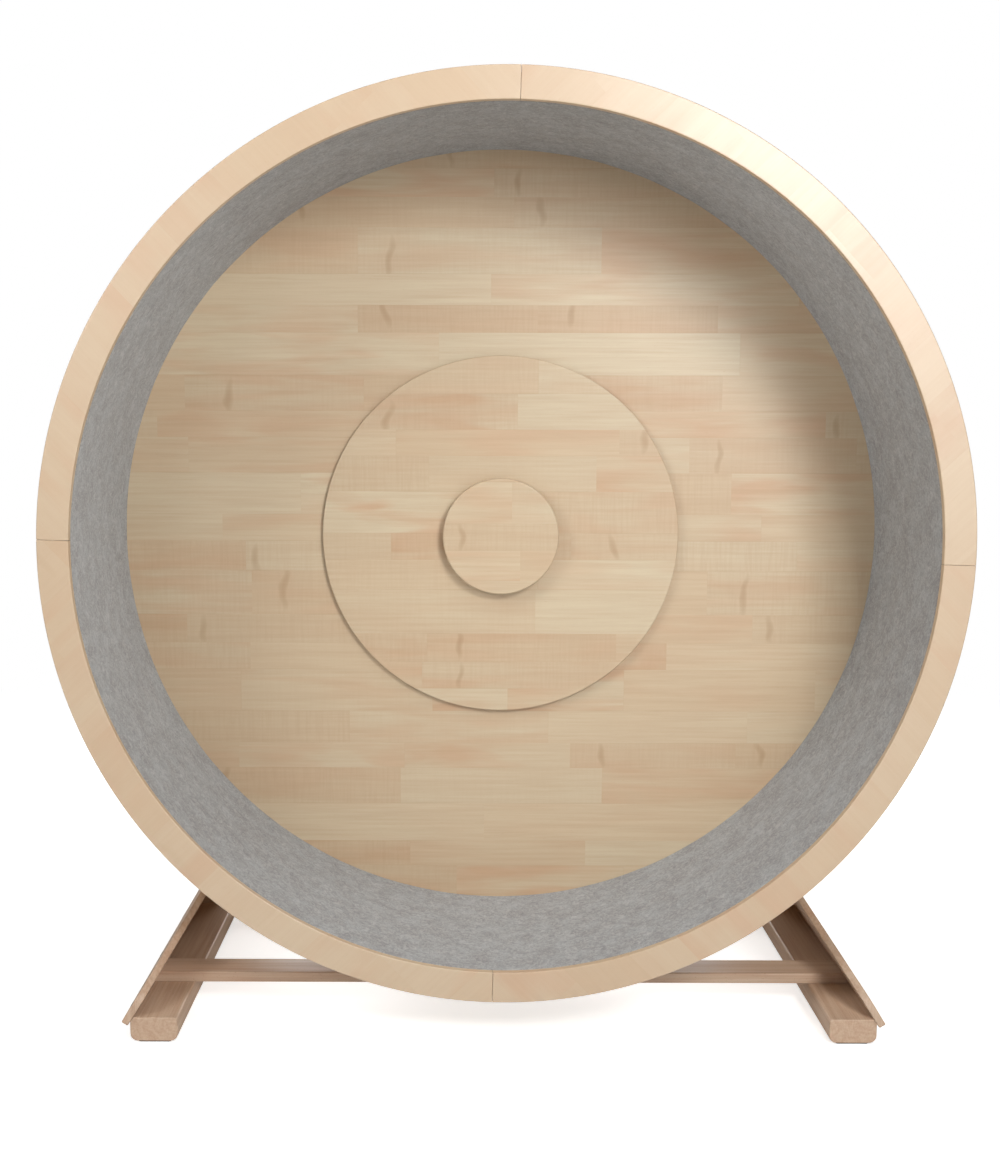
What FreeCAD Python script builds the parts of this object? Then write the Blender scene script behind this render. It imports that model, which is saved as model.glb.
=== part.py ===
import FreeCAD, Part
import math
import os

# Cat exercise wheel: a felt-lined bent-plywood drum, open at the front, that turns on an axle held by
# a timber A-frame behind it. Sizes are millimetres and degrees. X is to the right, Y goes backwards and
# Z goes up. Depths run backwards from the wheel's front face, which is flush with the front of the feet.

# Front rim: four quarters of solid board, joined end to end by loose splines.
wheel_diameter = 1100.0
rim_width = 38.0
rim_thickness = 9.0
rim_quarters = 4
rim_turn = 1.45             # clockwise from plumb, seen from the front
rim_joint_gap = 0.4
spline_width = 22.0
spline_reach = 14.0         # into each of the two quarters
spline_thickness = 3.0

# Running track: bent plywood between the rim and the back panel. The felt glued inside it comes flush with
# the rim's inner edge, which hides the felt's cut edge.
track_wall = 3.5
track_depth = 269.0         # front face to back panel
lining_thickness = 4.0

# Back panel, the battens between it and the rim, and the boards over the hub.
panel_thickness = 15.0
batten_count = 8
batten_width = 44.0
batten_height = 28.0
batten_bevel = 4.0
panel_bore = 44.0           # clears the axle nut
hub_disc_diameter = 485.0
hub_disc_thickness = 9.0
hub_disc_bore = 122.0       # clears the bolt heads
hub_cap_diameter = 157.0
hub_cap_thickness = 18.0

# Bearing housing: a barrel with a square flange that four bolts pull against the panel's back.
flange_size = 96.0
flange_corner_cut = 12.0
flange_thickness = 10.0
housing_diameter = 72.0
housing_length = 66.0
bolt_spacing = 70.0
bolt_diameter = 8.0
bolt_head_height = 5.3
bolt_head_flats = 13.0

# Two sealed ball bearings. Each turning outer ring is drawn with its seals, and the two fixed inner rings
# are drawn in one with the spacer sleeve between them.
bearing_bore = 25.0
bearing_diameter = 52.0
bearing_width = 15.0
inner_ring_diameter = 33.0
bearing_land_height = 4.0   # of the shoulder that each outer ring bears against

# Axle: a bar with a collar behind the bearings and a thread at each end, clamped in the stand's head.
axle_diameter = 25.0
axle_thread_diameter = 20.0
axle_thread_relief = 1.0    # each thread's shoulder stops this far inside what its nut bears on
axle_collar_diameter = 32.0  # stays clear of the turning outer ring
nut_flats = 28.0
nut_height = 10.0
nut_tail = 2.0              # of thread past each nut
head_washer_size = 60.0
head_washer_thickness = 5.0

# Stand: two feet, two leaning side boards, two legs, two crossbars and the head.
wheel_clearance = 52.3      # floor to the wheel's lowest point
foot_width = 58.0
foot_height = 30.0
foot_tail = 28.0            # behind the head and the posts
foot_lower_round = 9.0
foot_upper_round = 2.5
foot_bevel_drop = 6.0       # how far the planed edge reaches down the outer side
pad_thickness = 2.0
pad_length = 60.0
pad_width = 40.0
pad_setback = 3.0
side_lean = 31.8            # from the vertical
side_thickness = 9.0
side_drop = 6.5             # below the planed edge, along the board
side_toe_height = 32.0
side_brow_angle = 31.0      # of the front edge as it climbs away from the toe
side_heel_height = 70.0
side_heel_rise = 330.0
side_corner_round = 40.0
side_toe_round = 20.0
side_edge_round = 3.0
side_front_lap = 12.0       # ahead of the front head plate
wheel_air = 14.0            # between the wheel and the boards under it
leg_thickness = 30.0
leg_depth = 58.0
leg_edge_bevel = 2.5
crossbar_width = 45.0
crossbar_thickness = 13.5
crossbar_edge_round = 2.0
front_crossbar_setback = 107.0
head_half_width = 98.68     # at the axle, between the side boards
head_gap = 28.0             # housing to front head plate
head_plate_thickness = 18.0
head_rise = 78.0            # axle to the cut tops
head_plate_drop = 102.0
head_plate_arch = 20.0
head_block_drop = 72.0

# Clearances.
glue_gap = 0.2              # between curved faces that are glued, and at the felt's ends
hole_fit = 0.1              # round the splines, bolts and axle
seat_fit = 0.02             # at the seats of the bearing rings and spacers
running_fit = 0.05          # between the inner and outer rings of a bearing

# Radii about the axle.
wheel_radius = wheel_diameter / 2
rim_inner = wheel_radius - rim_width
rim_middle = wheel_radius - rim_width / 2
lining_outer = rim_inner + lining_thickness
track_inner = lining_outer + glue_gap / 2
track_outer = track_inner + track_wall
batten_inner = track_outer + glue_gap

# Depths behind the wheel's front face.
panel_back = track_depth + panel_thickness
hub_disc_front = track_depth - hub_disc_thickness
hub_cap_front = hub_disc_front - hub_cap_thickness
flange_back = panel_back + flange_thickness
housing_back = panel_back + housing_length
front_bearing_back = panel_back + bearing_width
rear_bearing_front = housing_back - bearing_width
head_front = housing_back + head_gap
head_washer_front = head_front - head_washer_thickness
leg_front = head_front + head_plate_thickness
leg_back = leg_front + leg_depth
head_back = leg_back + head_plate_thickness
foot_length = head_back + foot_tail
head_washer_back = head_back + head_washer_thickness
axle_front = panel_back - nut_height - nut_tail
axle_back = head_washer_back + nut_height + nut_tail

# Heights above the floor, and the lean of the side boards, which sets how far apart the feet stand.
axle_height = wheel_clearance + wheel_radius
foot_top = pad_thickness + foot_height
head_top = axle_height + head_rise
lean_sin = math.sin(math.radians(side_lean))
lean_cos = math.cos(math.radians(side_lean))
seat_z = foot_top - foot_bevel_drop
seat_x = head_half_width + (axle_height - seat_z) * lean_sin / lean_cos
foot_inner = seat_x - foot_width

made = []


def point(x, y, z):
    return FreeCAD.Vector(x, y, z)


def face_of(corners, place):
    # A flat face from corners (a, b) or (a, b, radius); a radius rounds that corner with a tangent arc.
    starts, ends, bends = [], [], []
    for index, corner in enumerate(corners):
        here = point(corner[0], corner[1], 0)
        to_last = point(*corners[index - 1][:2], 0) - here
        to_next = point(*corners[(index + 1) % len(corners)][:2], 0) - here
        radius = corner[2] if len(corner) > 2 else 0
        if radius <= 0:
            starts.append(here)
            ends.append(here)
            bends.append(None)
            continue
        to_last.normalize()
        to_next.normalize()
        half = to_last.getAngle(to_next) / 2
        middle = to_last + to_next
        middle.normalize()
        starts.append(here + to_last * (radius / math.tan(half)))
        ends.append(here + to_next * (radius / math.tan(half)))
        bends.append(here + middle * (radius / math.sin(half) - radius))
    edges = []
    for index, bend in enumerate(bends):
        leave, reach = place(*ends[index - 1][:2]), place(*starts[index][:2])
        if (reach - leave).Length > 1e-6:
            edges.append(Part.LineSegment(leave, reach).toShape())
        if bend is not None:
            edges.append(Part.Arc(reach, place(*bend[:2]), place(*ends[index][:2])).toShape())
    return Part.Face(Part.Wire(edges))


def around(shape, angle):
    # A copy turned about the axle, anticlockwise as seen from the front.
    copy = shape.copy()
    copy.rotate(point(0, 0, 0), point(0, -1, 0), angle)
    return copy


def turned(corners, start=0.0, sweep=360.0):
    # A profile of (radius, depth) corners turned about the axle.
    face = face_of(corners, lambda radius, depth: point(radius, depth, 0))
    return around(face.revolve(point(0, 0, 0), point(0, -1, 0), sweep), start)


def ring(inner, outer, front, back):
    return turned([(inner, front), (outer, front), (outer, back), (inner, back)])


def rod(diameter, front, back, x=0.0, z=0.0):
    # A round bar parallel to the axle.
    return Part.makeCylinder(diameter / 2, back - front, point(x, front, z), point(0, 1, 0))


def angles(count, first=0.0):
    return [first + 360.0 * index / count for index in range(count)]


def hexagon(flats, front, back, x=0.0, z=0.0):
    reach = flats / math.sqrt(3)
    turns = [math.radians(angle) for angle in angles(6)]
    face = face_of([(x + reach * math.cos(turn), z + reach * math.sin(turn)) for turn in turns],
                   lambda x, z: point(x, front, z))
    return face.extrude(point(0, back - front, 0))


def lean_point(along, out, depth):
    # On the right-hand side board: along the board from its seat, out from its inner face.
    return point(seat_x - along * lean_sin + out * lean_cos, depth,
                 seat_z + along * lean_cos + out * lean_sin)


def lean_x(height, out=0.0):
    # How far out the side board's inner face, or a plane parallel to it, stands at a height.
    return seat_x + (out - (height - seat_z) * lean_sin) / lean_cos


def mirrored(shape):
    return shape.mirror(point(0, 0, 0), point(1, 0, 0))


def level_slab(low, high):
    # All the space between two heights, to cut the sloping pieces level.
    reach = seat_x + foot_length
    return Part.makeBox(2 * reach, 2 * reach, high - low, point(-reach, -reach, low))


def save(name, shape, lift=0.0):
    solids = shape.Solids
    result = (solids[0] if len(solids) == 1 else Part.makeCompound(solids)).copy()
    result.translate(point(0, -foot_length / 2, lift))
    result.exportStep(os.path.join("parts", name + ".step"))
    made.append(name)


def save_round(name, shape):
    # For pieces that are modelled about the axle.
    save(name, shape, axle_height)


def make_rim():
    quarter_sweep = 360.0 / rim_quarters
    gap = math.degrees(rim_joint_gap / wheel_radius)

    def splines(grow):
        one = Part.makeBox(spline_width + 2 * grow, spline_thickness + 2 * grow,
                           2 * (spline_reach + grow),
                           point(rim_middle - spline_width / 2 - grow,
                                 (rim_thickness - spline_thickness) / 2 - grow, -spline_reach - grow))
        return [around(one, angle) for angle in angles(rim_quarters, -rim_turn)]

    for index, start in enumerate(angles(rim_quarters, -rim_turn)):
        quarter = turned([(rim_inner, 0), (wheel_radius, 0), (wheel_radius, rim_thickness),
                          (rim_inner, rim_thickness)], start + gap / 2, quarter_sweep - gap)
        save_round(f"rim_quarter_{index + 1}", quarter.cut(splines(hole_fit)))
    save_round("rim_splines", Part.makeCompound(splines(0)))


def make_track():
    save_round("track_shell", ring(track_inner, track_outer, rim_thickness, track_depth))
    save_round("track_lining", ring(rim_inner, lining_outer, rim_thickness + glue_gap,
                                    track_depth - glue_gap))


def make_back():
    save_round("back_panel", ring(panel_bore / 2, wheel_radius, track_depth, panel_back).cut(bolt_holes()))

    outer, half = batten_inner + batten_height, batten_width / 2
    section = face_of([(batten_inner, -half), (outer - batten_bevel, -half), (outer, batten_bevel - half),
                       (outer, half - batten_bevel), (outer - batten_bevel, half), (batten_inner, half)],
                      lambda x, z: point(x, rim_thickness, z))
    batten = section.extrude(point(0, track_depth - rim_thickness, 0))
    for index, angle in enumerate(angles(batten_count, 180.0 / batten_count - rim_turn)):
        save_round(f"batten_{index + 1}", around(batten, angle))


def make_hub_boards():
    # The hub disc is a ring of board on the panel; the cap closes its bore over the bolts and the nut.
    save_round("hub_disc", ring(hub_disc_bore / 2, hub_disc_diameter / 2, hub_disc_front, track_depth))
    save_round("hub_cap", rod(hub_cap_diameter, hub_cap_front, hub_disc_front))


def bolt_spots():
    half = bolt_spacing / 2
    return [(x, z) for x in (-half, half) for z in (-half, half)]


def bolt_holes():
    return [rod(bolt_diameter + 2 * hole_fit, track_depth, flange_back, x, z) for x, z in bolt_spots()]


def make_housing():
    # The bore is a seat for an outer ring at each end and a narrower land between them that both rings
    # bear against. The bolts go into tapped holes in the flange.
    seat = bearing_diameter / 2 + seat_fit
    land = bearing_diameter / 2 - bearing_land_height
    barrel = turned([(seat, panel_back), (housing_diameter / 2, panel_back),
                     (housing_diameter / 2, housing_back), (seat, housing_back),
                     (seat, rear_bearing_front), (land, rear_bearing_front),
                     (land, front_bearing_back), (seat, front_bearing_back)])
    half = flange_size / 2
    short = half - flange_corner_cut
    outline = [(-short, -half), (short, -half), (half, -short), (half, short),
               (short, half), (-short, half), (-half, short), (-half, -short)]
    flange = face_of(outline, lambda x, z: point(x, panel_back, z)).extrude(point(0, flange_thickness, 0))
    flange = flange.cut(rod(2 * seat + 2 * hole_fit, panel_back, flange_back))
    save_round("bearing_housing", barrel.fuse(flange).removeSplitter().cut(bolt_holes()))

    bolts = []
    for x, z in bolt_spots():
        head = hexagon(bolt_head_flats, track_depth - bolt_head_height, track_depth, x, z)
        bolts.append(head.fuse(rod(bolt_diameter, track_depth, flange_back, x, z)))
    save_round("housing_bolts", Part.makeCompound(bolts))


def make_bearings():
    split = inner_ring_diameter / 2
    outer = [ring(split + running_fit, bearing_diameter / 2, front, back)
             for front, back in ((panel_back, front_bearing_back), (rear_bearing_front, housing_back))]
    save_round("bearing_sleeve", ring(bearing_bore / 2, split, panel_back, housing_back))
    save_round("bearing_outer_rings", Part.makeCompound(outer))


def make_axle():
    shaft, thread = axle_diameter / 2 - seat_fit, axle_thread_diameter / 2
    collar = axle_collar_diameter / 2
    front_shoulder = panel_back + axle_thread_relief
    rear_shoulder = head_washer_back - axle_thread_relief
    save_round("axle", turned([(0, axle_front), (thread, axle_front), (thread, front_shoulder),
                               (shaft, front_shoulder), (shaft, housing_back), (collar, housing_back),
                               (collar, head_washer_front), (shaft, head_washer_front),
                               (shaft, rear_shoulder), (thread, rear_shoulder), (thread, axle_back),
                               (0, axle_back)]))
    nuts, washers = [], []
    for front in (panel_back - nut_height, head_washer_back):
        nut = hexagon(nut_flats, front, front + nut_height)
        nuts.append(nut.cut(rod(2 * (thread + seat_fit), front, front + nut_height)))
    for front in (head_washer_front, head_back):
        half = head_washer_size / 2
        plate = Part.makeBox(head_washer_size, head_washer_thickness, head_washer_size,
                             point(-half, front, -half))
        washers.append(plate.cut(rod(axle_diameter, front, front + head_washer_thickness)))
    save_round("axle_nuts", Part.makeCompound(nuts))
    save_round("head_washers", Part.makeCompound(washers))


def make_feet():
    # The upper outer edge is planed to the lean of the side board, which is glued to it.
    profile = [(foot_inner, pad_thickness, foot_lower_round), (seat_x, pad_thickness, foot_lower_round),
               (seat_x, seat_z), (lean_x(foot_top), foot_top), (foot_inner, foot_top, foot_upper_round)]
    foot = face_of(profile, lambda x, z: point(x, 0, z)).extrude(point(0, foot_length, 0))
    save("foot_right", foot)
    save("foot_left", mirrored(foot))
    for end, depth in (("front", pad_setback), ("rear", foot_length - pad_setback - pad_length)):
        pad = Part.makeBox(pad_width, pad_length, pad_thickness,
                           point(seat_x - (foot_width + pad_width) / 2, depth, 0))
        save(f"foot_pad_{end}_right", pad)
        save(f"foot_pad_{end}_left", mirrored(pad))


def make_side_boards():
    # Outline in depth and distance along the board: a toe, a brow that stays under the wheel, a post
    # behind the wheel and a heel that tapers back to the rear of the foot.
    axle_along = (axle_height - seat_z) * lean_cos + seat_x * lean_sin
    axle_out = seat_x * lean_cos - (axle_height - seat_z) * lean_sin
    brow = axle_along - math.sqrt((wheel_radius + wheel_air) ** 2 - axle_out ** 2)
    brow_depth = (brow - side_toe_height) / math.tan(math.radians(side_brow_angle))
    post_front = head_front - side_front_lap
    top = (head_top - seat_z) / lean_cos + side_thickness
    outline = [(0, -side_drop, side_edge_round), (0, side_toe_height, side_toe_round),
               (brow_depth, brow, side_corner_round), (post_front, brow, side_corner_round),
               (post_front, top), (head_back, top), (head_back, side_heel_rise, side_corner_round),
               (foot_length, side_heel_height, side_corner_round),
               (foot_length, -side_drop, side_edge_round)]
    face = face_of(outline, lambda depth, along: lean_point(along, 0, depth))
    board = face.extrude(point(lean_cos, 0, lean_sin) * side_thickness).common(level_slab(0, head_top))
    save("side_board_right", board)
    save("side_board_left", mirrored(board))


def make_legs():
    inner, bevel = -leg_thickness, leg_edge_bevel
    section = face_of([(inner, leg_front + bevel), (inner + bevel, leg_front), (0, leg_front),
                       (0, leg_back), (inner + bevel, leg_back), (inner, leg_back - bevel)],
                      lambda out, depth: lean_point(-2 * leg_thickness, out, depth))
    leg = section.extrude(point(-lean_sin, 0, lean_cos) * (2 * axle_height))
    leg = leg.common(level_slab(foot_top, head_top))
    save("leg_right", leg)
    save("leg_left", mirrored(leg))


def make_crossbars():
    # They lie flat on the feet, the rear one against the back of the legs.
    low, high = foot_top, foot_top + crossbar_thickness
    for name, depth in (("crossbar_front", front_crossbar_setback), ("crossbar_rear", leg_back)):
        back = depth + crossbar_width
        section = face_of([(depth, low), (depth, high, crossbar_edge_round),
                           (back, high, crossbar_edge_round), (back, low)],
                          lambda y, z: point(-seat_x, y, z))
        ends = face_of([(-lean_x(low), low), (lean_x(low), low), (lean_x(high), high),
                        (-lean_x(high), high)], lambda x, z: point(x, depth, z))
        bar = section.extrude(point(2 * seat_x, 0, 0))
        save(name, bar.common(ends.extrude(point(0, crossbar_width, 0))))


def make_head():
    hole = Part.makeCylinder(axle_diameter / 2 + hole_fit, head_back, point(0, 0, axle_height),
                             point(0, 1, 0))
    low = axle_height - head_block_drop
    wide, narrow = lean_x(low, -leg_thickness), lean_x(head_top, -leg_thickness)
    block = face_of([(-wide, low), (wide, low), (narrow, head_top), (-narrow, head_top)],
                    lambda x, z: point(x, leg_front, z))
    save("head_block", block.extrude(point(0, leg_depth, 0)).cut(hole))

    low = axle_height - head_plate_drop
    wide, narrow = lean_x(low), lean_x(head_top)
    corners = [point(-wide, 0, low), point(-narrow, 0, head_top), point(narrow, 0, head_top),
               point(wide, 0, low)]
    edges = [Part.LineSegment(one, two).toShape() for one, two in zip(corners, corners[1:])]
    arch = Part.Arc(corners[-1], point(0, 0, low + head_plate_arch), corners[0])
    face = Part.Face(Part.Wire(edges + [arch.toShape()]))
    plate = face.extrude(point(0, head_plate_thickness, 0))
    for name, depth in (("head_plate_front", head_front), ("head_plate_rear", leg_back)):
        copy = plate.copy()
        copy.translate(point(0, depth, 0))
        save(name, copy.cut(hole))


os.makedirs("parts", exist_ok=True)
make_rim()
make_track()
make_back()
make_hub_boards()
make_housing()
make_bearings()
make_axle()
make_feet()
make_side_boards()
make_legs()
make_crossbars()
make_head()
print(len(made), "pieces written")
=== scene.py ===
import bpy
import numpy as np
from math import cos, inf, pi, radians, sin, tan
from mathutils import Matrix, Vector


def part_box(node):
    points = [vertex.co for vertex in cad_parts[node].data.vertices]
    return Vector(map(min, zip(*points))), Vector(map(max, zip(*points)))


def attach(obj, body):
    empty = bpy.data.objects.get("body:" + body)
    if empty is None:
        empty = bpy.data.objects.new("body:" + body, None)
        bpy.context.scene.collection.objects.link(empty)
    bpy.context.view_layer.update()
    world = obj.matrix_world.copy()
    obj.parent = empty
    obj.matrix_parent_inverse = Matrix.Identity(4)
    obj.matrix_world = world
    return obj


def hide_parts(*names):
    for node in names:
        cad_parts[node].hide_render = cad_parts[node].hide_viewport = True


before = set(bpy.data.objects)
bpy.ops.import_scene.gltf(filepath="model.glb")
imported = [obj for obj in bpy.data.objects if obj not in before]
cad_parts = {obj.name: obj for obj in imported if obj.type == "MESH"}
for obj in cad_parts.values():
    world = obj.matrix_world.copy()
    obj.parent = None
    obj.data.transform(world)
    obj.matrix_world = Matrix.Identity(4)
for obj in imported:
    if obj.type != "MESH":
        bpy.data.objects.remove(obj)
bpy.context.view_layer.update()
print("frame loaded:", len(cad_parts), "nodes")

# Lengths below are millimetres, X to the right and Z up. Depths run back from the wheel's front face.
mm = 0.001
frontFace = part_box("rim_quarter_1")[0][1] / mm
axleHeight = (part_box("axle")[0][2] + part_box("axle")[1][2]) / 2 / mm
right, back, up = (1, 0, 0), (0, 1, 0), (0, 0, 1)


camera = {
    "place": (-47.1, -1544.1, 741.8), "tilt": -6.74, "turn": 0.12, "roll": 0.13,
    "lens": 40.86, "sensor": 36, "shift": (0.0316, 0.0045), "clip": (0.05, 60),  # the clip is in metres
}
lamps = {
    "key": {"place": (830, -1750, 1620), "aim": (0, 0, 620), "size": (600, 550), "power": 27},
    "sheen": {"place": (1050, -2900, 1180), "aim": (0, 0, 620), "size": (900, 500), "power": 13},
    "rimRight": {"place": (1620, -2900, 900), "aim": (0, 0, 620), "size": (450, 1200), "power": 9},
    "rimLeft": {"place": (-1250, -2900, 1300), "aim": (0, 0, 620), "size": (800, 800), "power": 6},
    "left": {"place": (-1500, -1000, 1500), "aim": (0, 0, 600), "size": (900, 900), "power": 16},
    "top": {"place": (200, -700, 2350), "aim": (0, 0, 700), "size": (900, 500), "power": 8},
    "back": {"place": (0, 2700, 1000), "aim": (0, 0, 300), "size": (2600, 900), "power": 60},
}
room = {
    "ambient": 0.06, "floor": "#f1f0ee", "rough": (0.75, 0.85), "gloss": 0.2, "gritScale": 40.0,
    "floorLift": 0.6, "nearFloor": (900, 2400), "reach": 14000,
}


def hexColour(text):
    # sRGB hex to linear light
    parts = np.array([int(text[i:i + 2], 16) for i in (1, 3, 5)]) / 255
    linear = np.where(parts <= 0.04045, parts / 12.92, ((parts + 0.055) / 1.055) ** 2.4)
    return (*map(float, linear), 1.0)


def addNode(tree, kind, inputs=(), **settings):
    # One node with its settings and links. Inputs are listed from the first socket on, or keyed by socket.
    # Each is a plain value, another node's output, or another node, which stands for its first output in use.
    node = tree.nodes.new("ShaderNode" + kind)
    for name, value in settings.items():
        setattr(node, name, value)
    for socket, value in inputs.items() if isinstance(inputs, dict) else enumerate(inputs):
        if isinstance(value, bpy.types.Node):
            value = next(output for output in value.outputs if output.enabled)
        if isinstance(value, bpy.types.NodeSocket):
            tree.links.new(value, node.inputs[socket])
        else:
            node.inputs[socket].default_value = value
    return node


def newMaterial(name):
    material = bpy.data.materials.new(name)
    material.use_nodes = True
    material.node_tree.nodes.clear()
    return material, material.node_tree


def makeCamera():
    x, depth, z = camera["place"]
    lens = bpy.data.cameras.new("camera")
    lens.sensor_fit, lens.sensor_width, lens.sensor_height = "AUTO", camera["sensor"], camera["sensor"]
    lens.lens = camera["lens"]
    lens.shift_x, lens.shift_y = camera["shift"]
    lens.clip_start, lens.clip_end = camera["clip"]
    eye = bpy.data.objects.new("camera", lens)
    bpy.context.scene.collection.objects.link(eye)
    eye.matrix_world = (Matrix.Translation((x * mm, (frontFace + depth) * mm, z * mm))
                        @ Matrix.Rotation(radians(camera["turn"]), 4, "Z")
                        @ Matrix.Rotation(radians(90 + camera["tilt"]), 4, "X")
                        @ Matrix.Rotation(radians(camera["roll"]), 4, "Z"))
    bpy.context.scene.camera = eye


def makeLamps():
    for name, lamp in lamps.items():
        light = bpy.data.lights.new(name, "AREA")
        light.shape, light.size, light.size_y = "RECTANGLE", lamp["size"][0] * mm, lamp["size"][1] * mm
        light.energy = lamp["power"]
        holder = bpy.data.objects.new(name, light)
        bpy.context.scene.collection.objects.link(holder)
        start, aim = (np.array([x, frontFace + depth, z]) * mm
                      for x, depth, z in (lamp["place"], lamp["aim"]))
        holder.matrix_world = Matrix.Translation(start) @ pointing(aim - start)


def pointing(direction):
    # the turn that brings a lamp's beam, its own -Z, into this direction
    return Vector(direction).to_track_quat("-Z", "Y").to_matrix().to_4x4()


def makeWorld():
    # plain white straight from the camera and through glass; all other light gets a dim even sky
    world = bpy.data.worlds.new("room")
    world.use_nodes = True
    tree = world.node_tree
    tree.nodes.clear()
    path = addNode(tree, "LightPath").outputs
    seen = addNode(tree, "Math", (path["Is Camera Ray"], path["Is Transmission Ray"]), operation="MAXIMUM")
    strength = addNode(tree, "MapRange", (seen, 0, 1, room["ambient"], 1))
    sky = addNode(tree, "Background", {"Color": (1, 1, 1, 1), "Strength": strength})
    addNode(tree, "OutputWorld", (sky,))
    bpy.context.scene.world = world


def makeFloor():
    # a matt floor that keeps its shadows; the camera sees it lifted, and plain white further out
    reach = room["reach"] * mm
    mesh = bpy.data.meshes.new("floor")
    mesh.from_pydata([(-reach, -reach, 0), (reach, -reach, 0), (reach, reach, 0), (-reach, reach, 0)], [],
                     [(0, 1, 2, 3)])
    floor = bpy.data.objects.new("floor", mesh)
    bpy.context.scene.collection.objects.link(floor)
    matt, tree = newMaterial("white studio floor")
    cameraRay = addNode(tree, "LightPath").outputs["Is Camera Ray"]
    place = addNode(tree, "TexCoord").outputs["Object"]
    grit = addNode(tree, "TexNoise", {"Vector": place, "Scale": room["gritScale"], "Detail": 2.0})
    rough = addNode(tree, "MapRange", (grit, 0, 1, *room["rough"]))
    paint = addNode(tree, "BsdfPrincipled", {"Base Color": hexColour(room["floor"]), "Roughness": rough,
                                             "Specular IOR Level": room["gloss"]})
    lift = addNode(tree, "Math", (cameraRay, room["floorLift"]), operation="MULTIPLY")
    glow = addNode(tree, "Emission", {"Strength": lift})
    lifted = addNode(tree, "AddShader", (paint, glow))
    away = addNode(tree, "VectorMath", (place,), operation="LENGTH")
    near, far = room["nearFloor"]
    fade = addNode(tree, "MapRange", (away, near * mm, far * mm), interpolation_type="SMOOTHSTEP")
    share = addNode(tree, "Math", (fade, cameraRay), operation="MULTIPLY")
    white = addNode(tree, "Emission", {"Strength": cameraRay})
    shown = addNode(tree, "MixShader", (share, lifted, white))
    addNode(tree, "OutputMaterial", (shown,))
    mesh.materials.append(matt)


makeCamera()
makeLamps()
makeWorld()
makeFloor()
bpy.context.scene.view_settings.view_transform = "Standard"
print("camera, lamps and floor made")


def addPatterns(tree, place, sizes, patterns):
    # A material's soft noises by name. Each has feature sizes in millimetres along the three directions, and
    # its own detail and distortion.
    noises = {}
    for name, (detail, distortion) in patterns.items():
        scale = tuple(1 / (size * mm) for size in sizes[name])
        scaled = addNode(tree, "VectorMath", (place, scale), operation="MULTIPLY")
        noises[name] = addNode(tree, "TexNoise", {"Vector": scaled, "Scale": 1.0, "Detail": detail,
                                                  "Distortion": distortion})
    return noises


def layered(tree, tone, look, layers):
    # lays colours of the look over a tone one after another, each by its own share
    for share, colour in layers:
        tone = addNode(tree, "Mix", {0: share, 6: tone, 7: hexColour(look[colour])}, data_type="RGBA")
    return tone


# What all the boards share, with sizes in millimetres. Most pairs are where a noise or a chance starts and
# ends. The patterns have each noise's detail and distortion.
figure = {
    "patterns": {"clouds": (2.0, 0.4), "bands": (1.0, 0.3), "streaks": (2.0, 0.0), "fine": (2.0, 0.0),
                 "curl": (1.0, 0.5), "flecks": (1.0, 0.0)},
    "sway": 0.17, "swayEvery": 3.3,                            # shares of a strip's width
    "fewest": 0.7, "more": 0.6, "stagger": 7.31,               # strips to a strip's length, and rows' shift
    "ownShift": (3.0, 2.0, 2.0),                               # metres of board that strips are picked from
    "cloudy": (0.42, 0.66), "rosyStrips": (0.1, 1.0), "leastRosy": 0.1, "grainy": (0.5, 1.05),
    "fineShare": 0.5, "shaded": (0.3, 1.7), "curly": (0.4, 0.68), "curlyStrips": (0.45, 1.0),
    "flecked": (0.66, 0.78), "pulling": (0.25, 0.75), "worn": (0.3, 0.7), "roughChange": (-0.04, 0.05),
    "wisp": (4.0, 17.0), "wispStart": (14.0, 70.0), "wispAside": (0.3, 0.7), "wispFade": 2.4, "pull": 8.0,
    "seamSide": (0.2, 1.0), "seamEnd": (0.2, 1.1), "endShare": 0.4, "seamSeen": (0.4, 0.62), "seamRelief": 3,
    "bumpDepth": 0.15,
}
boardPatterns = {"pull": (1.0, 0.0), "uneven": (2.0, 0.0)}
boardSizes = {"pull": (70, 42, 70), "uneven": (90, 90, 90)}


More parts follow.
